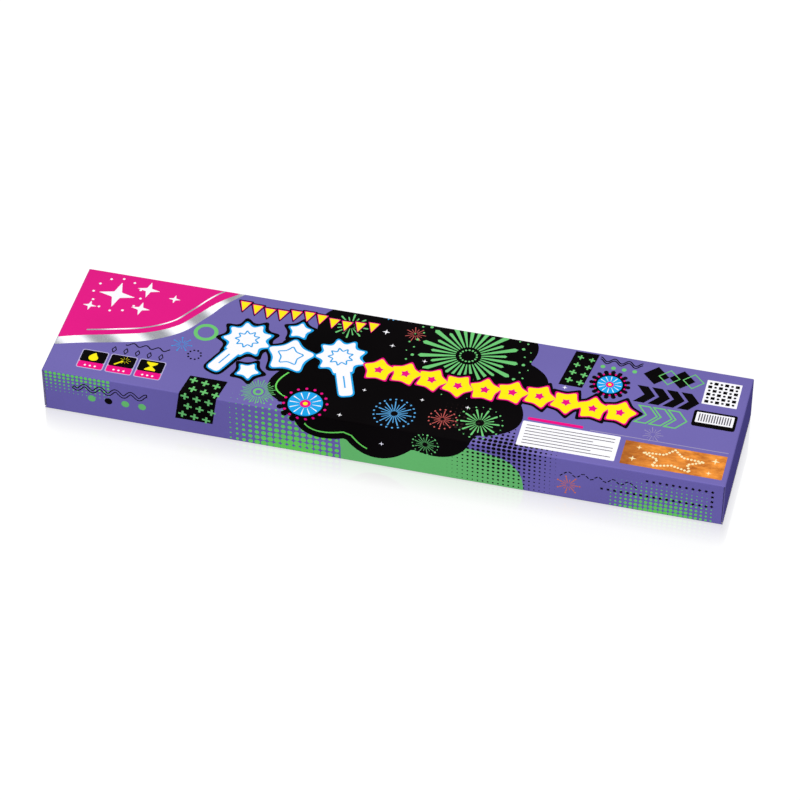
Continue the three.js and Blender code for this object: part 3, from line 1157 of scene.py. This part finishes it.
def held_sparkler(centre, lean, size):
    """A lit sparkler in outline: its stick and its burst, as two flat shapes."""
    down = downwards(lean)
    half = np.array((-down[1], down[0])) * 3.2 * size
    start, end = np.array(centre) + down * 4, np.array(centre) + down * 35 * size
    stick = np.array([start - half, end - half, end + half, start + half])
    return stick, star(centre, 14.6 * size, 9.4 * size, HEAD_TIPS, 90 + lean)


def drawn_sparklers():
    """Two lit sparklers and three stars, large and white, with blue and black outlines."""
    shapes = []
    for held in HELD:
        stick, head = held_sparkler(*held)
        shapes += [(stick, 1.4), (head, 1.6)]
    shapes.append((star(MIDDLE_STAR, 12.6, 7.6, 5), 2.4))
    shapes.append((star((-60, 63.5), 4.8, 2.6, 5), 0.8))
    shapes.append((star((-79, 25.5), 4.8, 2.6, 5, 70), 0.7))
    outlined(shapes, (
        ("print_drawn_sparklers_shadow", "black", 5.2, 3.5, 3.5, (0.3, -0.3)),
        ("print_drawn_sparklers_blue", "cyan", 6, 1.9, 1.9, (0.15, -0.15)),
        ("print_drawn_sparklers_white", "white", 7, 1.0, 1.0, (0, 0)),
    ))
    strokes = Ink("print_drawn_sparklers_strokes", "cyan", 8)
    for centre, lean, size in HELD:
        head = star(centre, 8.4 * size, 5.0 * size, HEAD_TIPS, 90 + lean)
        strokes.line(soften(head, 1.0), STROKE, True)
        strokes.line([np.array(centre) + downwards(lean) * k * size for k in (18, 29)], STROKE)
    strokes.line(soften(star(MIDDLE_STAR, 7.8, 4.6, 5), 1.4), STROKE, True).lay()


def star_row():
    """Ten yellow stars with magenta hearts, and magenta and black outlines."""
    stars, hearts = [], Ink("print_star_hearts", "deep_magenta", 8.2)
    for i in range(10):
        centre = (-10.5 + 14.8 * i, 42.6 + 1.3 * math.sin(i * 1.25 + 0.6))
        turn = 90 - 9 * (i % 4)
        stars.append((star(centre, 8.4, 5.5, 5, turn), 1.4))
        hearts.shape(soften(star(centre, 3.0, 1.7, 5, turn), 0.4, 2))
    outlined(stars, (
        ("print_star_shadow", "black", 5.4, 2.9, 0, (0, 0)),
        ("print_star_outline", "deep_magenta", 6.2, 1.35, 0, (0, 0)),
        ("print_star_yellow", "yellow", 7.2, 0.5, 0, (0, 0)),
    ))
    hearts.lay()


def pennants():
    """A string of small yellow pennants that sags between pins 40 mm apart."""
    first, last, sag, pins = -98, -17, 2.6, 40

    def string(u, top):
        return top - sag * math.sin(math.pi * (u - first) / pins) ** 2

    under = Ink("print_pennant_string", "black", 5.6)
    under.line([(u, string(u, 79.5)) for u in np.arange(first, last, 1.0)], 0.9)
    edges = Ink("print_pennant_edges", "deep_magenta", 6.3)
    flags = Ink("print_pennants", "yellow", 7.1)
    layers = ((under, 1.1, 1.0), (edges, 0.35, 0.6), (flags, -0.2, 0.4))  # ink, growth, rounding
    for k in range(11):
        u = -95 + 7.3 * k
        v = string(u, 79.2)
        flag = np.array([(u - 3.0, v + 0.4), (u, v - 7.4), (u + 3.0, v + 0.4)])
        for layer, by, rounding in layers:
            layer.shape(soften(grow(flag, by), rounding, 2))
    for layer, _, _ in layers:
        layer.lay()


def rosettes():
    """Two round firework rosettes."""
    for number, centre, size in ((1, (-42, 8), 1.1), (2, (113, 62), 0.8)):
        name = f"print_rosette_{number}"
        ground = Ink(name + "_ground", "black", 5.8).shape(circle(centre, 11.5 * size, 40))
        ground.burst("disc", centre, 16, 12.5 * size, 3.2 * size).lay()
        Ink(name + "_ring", "cyan", 6.6).shape(circle(centre, 8.6 * size, 36)).lay()
        Ink(name + "_petals", "white", 7.5).burst("wedge", centre, 12, 3.4 * size, 4.6 * size).lay()
        dots = Ink(name + "_dots", "deep_magenta", 7.8).shape(circle(centre, 2.7 * size, 20))
        dots.burst("disc", centre, 16, 10.6 * size, 1.5 * size, turn=11).lay()
        Ink(name + "_heart", "yellow", 8.5).shape(circle(centre, 1.2 * size, 14)).lay()


FLAME = (
    (0, 12.6), (2.4, 13.4), (3, 15.4), (1.4, 17.6), (0.8, 19.4), (-1.2, 17.8), (-2.6, 15.8),
    (-2.2, 13.6),
)
HOURGLASS = (
    (-3, 12.6), (3, 12.6), (3, 13.6), (0.5, 15.9), (3, 18.2), (3, 19.2), (-3, 19.2), (-3, 18.2),
    (-0.5, 15.9), (-3, 13.6),
)


def info_tiles():
    """Three rounded tiles with small pictures, black over magenta."""
    wide, pitch, low, foot_top, high, edge = 14, 16.2, 7.0, 11.9, 20.8, 0.5
    under = Ink("print_tile_edges", "pale", 1)
    black = Ink("print_tile_tops", "black", 2)
    foot = Ink("print_tile_feet", "deep_magenta", 2)
    yellow = Ink("print_tile_pictures", "yellow", 3)
    white = Ink("print_tile_marks", "white", 3)
    for k in range(3):
        left = -170 + pitch * k
        right = left + wide
        under.shape(rectangle((left - edge, low - edge), (right + edge, high + edge), 1.5))
        black.shape(rectangle((left, foot_top), (right, high), 1.2))
        foot.shape(rectangle((left, low), (right, foot_top), 1.0))
        for j in range(3):
            white.shape(circle((left + 4.2 + 2.8 * j, low + 2), 0.62, 12))
    yellow.shape(placed(soften(FLAME, 0.8), (-163.2, 0.3)))
    yellow.line([(-150.6, 13.2), (-146.6, 16.7)], 0.9)
    yellow.burst("ray", (-145.6, 17.4), 9, 0.9, 2.2, 1.6)
    yellow.shape(placed(HOURGLASS, (-130.6, 0.4)))
    for layer in (under, black, foot, yellow, white):
        layer.lay()


CHEVRON = ((-5.5, -6.5), (0.4, -6.5), (5.5, 0), (0.4, 6.5), (-5.5, 6.5), (-0.4, 0))
TOP_WAVES = ((-149, -124, 30.6, 1.1, 0.9), (104, 128, 81.2, 1.5, 0.8), (104, 128, 79.6, 1.5, 0.8))
DISC_ROW = -15.4  # down the front wall
BLACK_DISC = (-150.5, DISC_ROW)
GREEN_DISCS = ((-160.0, DISC_ROW), (-141.0, DISC_ROW), (-131.5, DISC_ROW))


def black_motifs():
    """Waves, diamonds, chevrons and rows of dots."""
    black = Ink("print_black_motifs", "black", 4)
    for first, last, middle, swing, rate in TOP_WAVES:
        black.line(wave(first, last, 0.6, middle, swing, rate), 0.7)
    band = wave(-170, -128, 0.5, -8.6, 1.7, 0.72)
    around = np.vstack([offset_line(band, 0.85), offset_line(band, -0.85)[::-1]])
    black.line(around, 0.6, True)
    black.shape(circle(BLACK_DISC, 2.2, 24))
    for k in range(5):
        black.line(soften(star((-154 + 6.6 * k, 24.6), 2.4, 1.2, 2), 0.4), 0.55, True)
    for k in range(4):
        black.shape(placed(CHEVRON, (133 + 8.0 * k, 59)))
    for k in range(2):
        black.shape(placed(square(5), (136 + 14.2 * k, 75.2), 45))
    zigzag = [(100 + 4 * k, -12 + (3 if k % 2 else 0)) for k in range(11)]
    black.trail("dash", curve_through(zigzag, steps=4), 2.9, 2.0)
    black.trail("square", [(146, -6), (181, -6), (181, -17), (122, -17)], 3.5, 1.4)
    black.burst("dot", (-110.5, 31), 10, 3.6, 1.2).lay()


def green_motifs():
    """A ring, discs, open diamonds and chevrons, and a burst."""
    green = Ink("print_green_motifs", "leaf_green", 4.3)
    green.line(circle((-109.5, 50), 5.7, 36), 2.2, True)
    for centre in GREEN_DISCS:
        green.shape(circle(centre, 2.2, 24))
    for k in range(2):
        green.line(placed(square(4), (143.1 + 13.2 * k, 75.2), 45), 0.6, True)
    green.trail("disc", [(106.5, 75.3), (124, 75.3)], 5.4, 2.6)
    for k in range(3):
        green.line(placed(CHEVRON, (137 + 8.0 * k, 43.5)), 0.8, True)
    burst = (-69, 11)
    green.burst("ray", burst, 34, 3.9, 5.6, 4.4).line(circle(burst, 2.2, 20), 1.3, True).lay()


def small_bursts():
    """Three bursts on the purple ground."""
    orange, blue = (104, -18.5), (-119.5, 37.5)
    bursts(
        "print_orange_burst", "amber", 4,
        ("wedge", orange, 14, 1.2, 4.2, 2.8),
        ("dot", orange, 7, 6.2, 1.0),
    )
    bursts("print_grey_burst", "grey", 4, ("ray", (143, 29.5), 14, 1.4, 4.2, 2.8))
    bursts(
        "print_blue_burst", "cyan", 4.2,
        ("ray", blue, 14, 1.2, 3.6, 2.4),
        ("dot", blue, 7, 5.4, 0.9),
    )


def plus_patches():
    """Two black patches with rows of green plus marks."""
    ground = Ink("print_plus_ground", "black", 3.3)
    ground.shape([(-113, -19), (-92, -19), (-87, 14.5), (-108, 14.5)])
    ground.shape([(86, 56), (99, 56), (103, 84), (90, 84)]).lay()
    marks = Ink("print_plus_marks", "leaf_green", 4.5)
    marks.halftone("plus", (-108.8, -15.2), 3, 5, 6.7, (4.5, 4.5), turn=-8, stagger=0.35)
    marks.halftone("plus", (90.8, 60.6), 2, 4, 6.4, (4.2, 3.4), turn=-8).lay()


ZONE_EDGE = (
    (-20.6, -30), (-20.6, -21), (-20, -12), (-8, -7), (20, -4), (52, -5), (70, -9), (78, -18),
    (80, -30),
)


def halftones():
    """Fields of dots that fade out over the ground, and a plain green zone."""
    black = Ink("print_black_halftones", "black", 2.6)
    black.halftone("dot", (38, -26.6), 22, 11, 2.8, (1.1, 2.5), fade=0.8)
    black.halftone("dot", (38, 4.2), 22, 6, 2.8, (2.4, 0.4), fade=0.8)
    black.halftone("dot", (110, 88), 27, 9, 2.4, (0.4, 2.2), stagger=0.5).lay()
    Ink("print_green_zone", "leaf_green", 2.45).shape(curve_through(ZONE_EDGE)).lay()
    soot = Ink("print_soot_halftone", "soot", 4.2)
    soot.halftone("dot", (29, 10), 12, 7, 2.8, (2.2, 0.6), fade=0.7).lay()
    green = Ink("print_green_halftones", "bright_green", 1.2)
    green.halftone("dot", (-185.2, -14.0), 15, 6, 2.5, (0.5, 2.0))
    green.halftone("dot", (-82, -26.6), 20, 10, 3.7, (4.1, 0.8), fade=0.72)
    green.halftone("dot", (127, -27.0), 21, 8, 2.7, (2.7, 0.5), fade=0.6).lay()
    magenta = Ink("print_magenta_halftone", "deep_magenta", 2.7)
    magenta.halftone("dot", (-86, 88), 15, 11, 2.4, (2.1, 0.4), stagger=0.5).lay()


def tile(name, colour, level, low, high, rounding=0.0):
    Ink(name, colour, level).shape(rectangle(low, high, rounding)).lay()


def ruled(name, level, start, count, pitch, thickness, lengths):
    """Plain rules, one above the other from start, with the given lengths in turn."""
    rules = Ink(name, "rule", level)
    left, first = start
    for k in range(count):
        low = first + pitch * k
        rules.shape(rectangle((left, low), (left + lengths[k % len(lengths)], low + thickness)))
    rules.lay()


def right_hand_tiles():
    """A white ruled panel, a warm picture with a drawn star, and two small tiles."""
    tile("print_ruled_panel", "white", 3.6, (74, 4.5), (127, 23.5), 0.8)
    ruled("print_panel_rules", 4.4, (76.5, 6.7), 7, 2.3, 0.55, (48, 37, 48))
    tile("print_panel_header", "deep_magenta", 3.6, (76, 24.8), (106, 26.8), 0.7)
    tile("print_sand_picture", "sand", 3.6, (130, 4), (184.6, 22), 0.5)
    tile("print_picture_rule", "grey", 3.6, (110, 24.4), (184.6, 24.9))
    glow = Ink("print_drawn_star", "cream", 4.4)
    drawn = star((0, 0), 8.2, 4.0, 5) * (2.1, 0.98) + (157, 12.4)
    glow.trail("disc", np.vstack([drawn, drawn[:1]]), 1.9, 1.45)
    for centre, size in (((136, 9), 2.2), ((179, 17), 2.4), ((138, 18), 1.7), ((177, 7.4), 1.7)):
        glow.shape(spark(centre, size, 0.28))
    glow.lay()

    tile("print_square_tile", "white", 3.6, (163.5, 59.5), (182.5, 78.5))
    marks = Ink("print_square_marks", "black", 4.1)
    for row in range(6):
        for column in range(6):
            centre = (165.75 + 2.9 * column, 61.75 + 2.9 * row)
            round_one = (row + column) % 2
            marks.shape(circle(centre, 0.8, 12) if round_one else placed(square(1.1), centre))
    marks.lay()
    tile("print_stroke_tile", "black", 3.6, (161, 41.5), (184.5, 54), 1.6)
    tile("print_stroke_label", "white", 4.1, (162.6, 44.6), (182.9, 52.6), 0.4)
    strokes = Ink("print_strokes", "rule", 4.4)
    for k in range(13):
        left = 164 + 1.4 * k
        strokes.shape(rectangle((left, 45.6), (left + 0.7, 51.6)))
    strokes.lay()


def back_motifs():
    """Quieter motifs on the back wall."""
    low, foot = width + 1.5, width + height - 4
    marks = Ink("print_back_motifs", "black", 4)
    for k in range(2):
        marks.line(wave(118, 176, 0.6, low + 8 + 6 * k, 1.7, 0.6), 1.1)
    marks.trail("arrow", [(-80, foot - 6), (-58, foot - 6)], 5.5, 3.8).lay()
    dots = Ink("print_back_dots", "leaf_green", 4)
    dots.trail("disc", [(120, foot), (172, foot)], 5.4, 2.3)
    dots.burst("wedge", (100, width + 15), 20, 3, 7, 5).lay()


BAND_EDGE = (
    (-100, -8), (-40, -14), (30, -6), (92, -16), (128, -44), (88, -72), (20, -64), (-46, -76),
    (-116, -58), (-128, -28),
)


def bottom_motifs():
    """A dark band with bursts, a halftone and a ruled panel on the bottom."""
    edge = -height
    band = curve_through([(along, edge + across) for along, across in BAND_EDGE], closed=True)
    Ink("print_bottom_band", "black", 1).shape(band).lay()
    left, right = (-50, edge - 42), (60, edge - 38)
    bursts(
        "print_bottom_bursts", "green", 2,
        ("wedge", left, 24, 6, 14, 10),
        ("dot", left, 24, 23, 1.5, 0.9),
        ("wedge", right, 20, 4, 11, 8),
    )
    bursts("print_bottom_specks", "white", 2, ("spark", (6, edge - 40), 9, 16, 4.2, 2.4))
    dots = Ink("print_bottom_halftone", "magenta", 2)
    dots.halftone("dot", (-184, edge - 80), 20, 12, 2.8, (2.5, 0.5), stagger=0.5).lay()
    tile("print_bottom_rules", "white", 2, (138, edge - 62), (180, edge - 24), 1.4)
    ruled("print_bottom_lines", 3, (141, edge - 58.5), 9, 3.9, 0.6, (28, 36, 36))


corner_field()
night_cloud()
drawn_sparklers()
star_row()
pennants()
rosettes()
info_tiles()
black_motifs()
green_motifs()
small_bursts()
plus_patches()
halftones()
right_hand_tiles()
back_motifs()
bottom_motifs()
for stamp in MOTIFS.values():
    shape = stamp.data
    bpy.data.objects.remove(stamp)
    bpy.data.meshes.remove(shape)


# The contents

SLEEVE_BOARD = 0.4
SLEEVE_CREASE = 1.2
SLEEVE_LAP = 4.5  # from the sleeve's middle to each end of the lap
LAP_RISE = (0.5, 1.6)  # past the lower layer's edge, where the lap lies on it and where it lifts
LAP_BEND = 0.3


def sleeve(name):
    """A band of board round ten sparklers, lapped and glued on top."""
    (left, front, foot), (right, back, lap_top) = span(name)
    top = lap_top - SLEEVE_BOARD
    middle = (front + back) / 2
    corners = [(middle + SLEEVE_LAP, top, 0), (front, top, SLEEVE_CREASE)]
    corners += [(front, foot, SLEEVE_CREASE), (back, foot, SLEEVE_CREASE), (back, top, SLEEVE_CREASE)]
    corners += [(middle + SLEEVE_LAP + LAP_RISE[1], top, LAP_BEND)]
    corners += [(middle + SLEEVE_LAP + LAP_RISE[0], lap_top, LAP_BEND)]
    corners += [(middle - SLEEVE_LAP, lap_top, 0)]
    finishes = [sleeve_outside, sleeve_inside, sleeve_inside]
    label = name.replace("sleeve", "board_sleeve")
    made = bent_board(label, rounded_path(corners), (left, right), SLEEVE_BOARD, finishes)
    attach(made, "carton", name)


def dipped_tree():
    """A wire with a lumpy coat over its first part, as one closed skin along X."""
    sizes = "Length Coat_Length Coat_Radius Wire_Radius Tip_Run Shoulder_Run Lump_Height Lump_Size Seed"
    tree = Pattern("dipped_sparkler", sizes, "Rings Sides", Wire_Finish="Material")
    given = tree.given
    sizes = {"Start": (0, 0, 0), "End": tree.join(given["Length"])}
    line = tree.node("GeometryNodeCurvePrimitiveLine", sizes).outputs[0]
    line = tree.node("GeometryNodeResampleCurve", {"Curve": line, "Count": given["Rings"]}).outputs[0]
    sizes = {"Resolution": given["Sides"], "Radius": 1.0}
    ring = tree.node("GeometryNodeCurvePrimitiveCircle", sizes).outputs[0]
    sizes = {"Curve": line, "Profile Curve": ring, "Fill Caps": True}
    skin = tree.node("GeometryNodeCurveToMesh", sizes).outputs[0]
    x, y, z = tree.split(tree.node("GeometryNodeInputPosition").outputs[0])
    tip = tree.math("SQRT", tree.ramp(x, 0.0, given["Tip Run"], 0.12, 1.0))
    neck = tree.minus(given["Coat Length"], given["Shoulder Run"])
    shoulder = tree.ramp(x, neck, given["Coat Length"], 1.0, 0.0, smooth=True)
    where = tree.join(x, tree.times(y, 2.6), tree.times(z, 2.6))
    sizes = {"Vector": where, "W": given["Seed"], "Scale": given["Lump Size"], "Detail": 3.0}
    lumps = tree.node("ShaderNodeTexNoise", sizes, noise_dimensions="4D").outputs["Fac"]
    lumps = tree.times(tree.minus(tree.ramp(lumps, 0.25, 0.75), 0.8), given["Lump Height"])
    thick = tree.math("ADD", tree.minus(given["Coat Radius"], given["Wire Radius"]), lumps)
    over = tree.times(tree.times(tip, shoulder), thick)
    radius = tree.math("ADD", given["Wire Radius"], over)
    moved = tree.join(x, tree.times(y, radius), tree.times(z, radius))
    skin = tree.node("GeometryNodeSetPosition", {"Geometry": skin, "Position": moved}).outputs[0]
    skin = tree.node("GeometryNodeSetShadeSmooth", {"Geometry": skin}).outputs[0]
    tree.end(skin, {"Wire Finish": tree.math("GREATER_THAN", x, given["Coat Length"])})
    return tree


def sparklers():
    dipped = dipped_tree()
    for number in range(1, 31):
        node = f"sparkler_{number:02d}"
        low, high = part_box(node)
        mesh = dipped.run(
            node, Length=high.x - low.x, Coat_Length=0.240, Coat_Radius=(high.z - low.z) / 2,
            Wire_Radius=0.0009, Tip_Run=0.0022, Shoulder_Run=0.007, Lump_Height=0.00045,
            Lump_Size=420.0, Seed=number * 1.7, Rings=176, Sides=12, Material=coat, Wire_Finish=wire,
        )
        mesh.transform(Matrix.Translation((low.x, (low.y + high.y) / 2, (low.z + high.z) / 2)))
        attach(add_object(f"dipped_{node}", mesh), "carton", node)


for place_name in ("front", "middle", "back"):
    sleeve(f"{place_name}_sleeve")
sparklers()


# Floor and light, in metres

FLOOR_HALF = 6.0
FLOOR_LEVEL = -0.0003  # just under the print on the bottom
FLOOR_GREY = (0.205, 0.215)  # how light it is for the light that it sends back
FLOOR_GLOW = 0.94
CLEAR_SHARE = 0.235  # of the clear reflection beside the carton
CLEAR_REACH = 0.0165  # how far from the long walls it fades away
END_RATE = 3.0  # how many times sooner it fades past the short ends


def floor():
    """White, with a reflection that fades away from the carton, and dull for the light it sends back."""
    size, level = FLOOR_HALF, FLOOR_LEVEL
    corners = [(-size, -size, level), (size, -size, level), (size, size, level), (-size, size, level)]
    finish = Finish("pale_floor")
    finish.tree.nodes.remove(finish.shader)
    drift = finish.spread(finish.noise(2.0), *FLOOR_GREY)
    grey = finish.node("ShaderNodeCombineColor", {0: drift, 1: drift, 2: finish.times(drift, 1.9)})
    dull = finish.node("ShaderNodeBsdfDiffuse", {"Color": grey.outputs[0]}).outputs[0]
    shine = {"Color": (0.1, 0.1, 0.1, 1), "Roughness": 0.48}
    polish = finish.node("ShaderNodeBsdfAnisotropic", shine).outputs[0]
    glow = {"Color": (1, 1, 1, 1), "Strength": FLOOR_GLOW}
    glow = finish.node("ShaderNodeEmission", glow).outputs[0]
    white = finish.node("ShaderNodeAddShader", {0: polish, 1: glow}).outputs[0]
    clear = {"Color": (1, 1, 1, 1), "Roughness": 0.02}
    clear = finish.node("ShaderNodeBsdfAnisotropic", clear).outputs[0]
    x, y, _ = finish.split(finish.place)
    beyond = []
    for place, half, rate in ((x, half_length, END_RATE), (y, width / 2, 1.0)):
        past = finish.minus(finish.math("ABSOLUTE", place), half * MM)
        beyond.append(finish.times(finish.math("MAXIMUM", past, 0.0), rate))
    away = finish.node("ShaderNodeVectorMath", {0: finish.join(*beyond)}, operation="LENGTH")
    share = finish.ramp(away.outputs["Value"], 0.0, CLEAR_REACH, CLEAR_SHARE, 0.0)
    white = finish.node("ShaderNodeMixShader", {0: share, 1: white, 2: clear}).outputs[0]
    both = finish.node("ShaderNodeMixShader", {0: finish.seen_by_eye(), 1: dull, 2: white}).outputs[0]
    finish.put(finish.tree.nodes["Material Output"].inputs["Surface"], both)
    piece("pale_floor", corners, [(0, 1, 2, 3)], [finish.material])


def area_light(name, direction, distance, size, power):
    """A round softbox that faces the middle of the carton's foot."""
    data = bpy.data.lights.new(name, "AREA")
    data.shape = "DISK"
    data.size = size
    data.energy = power
    lamp = add_object(name, data)
    lamp.location = Vector(direction) * distance
    lamp.rotation_euler = (-lamp.location).to_track_quat("-Z", "Y").to_euler()


def white_studio():
    """A world that looks white, and lights the set more softly than it looks."""
    world = bpy.data.worlds.new("white_studio")
    world.use_nodes = True
    bpy.context.scene.world = world
    world.node_tree.nodes.clear()
    nodes = Nodes(world.node_tree)
    soft = {"Color": (0.92, 0.9, 1.03, 1), "Strength": 0.34}
    soft = nodes.node("ShaderNodeBackground", soft).outputs[0]
    white = {"Color": (1, 1, 1, 1), "Strength": 1.0}
    white = nodes.node("ShaderNodeBackground", white).outputs[0]
    both = nodes.node("ShaderNodeMixShader", {0: nodes.seen_by_eye(), 1: soft, 2: white}).outputs[0]
    nodes.node("ShaderNodeOutputWorld", {"Surface": both})


floor()
area_light("key_softbox", (0.15, -0.58, 0.80), distance=2.6, size=1.3, power=54.5)
area_light("fill_softbox", (-0.45, 0.80, 0.40), distance=3.0, size=2.0, power=16.0)
white_studio()
bpy.context.scene.view_settings.view_transform = "Standard"
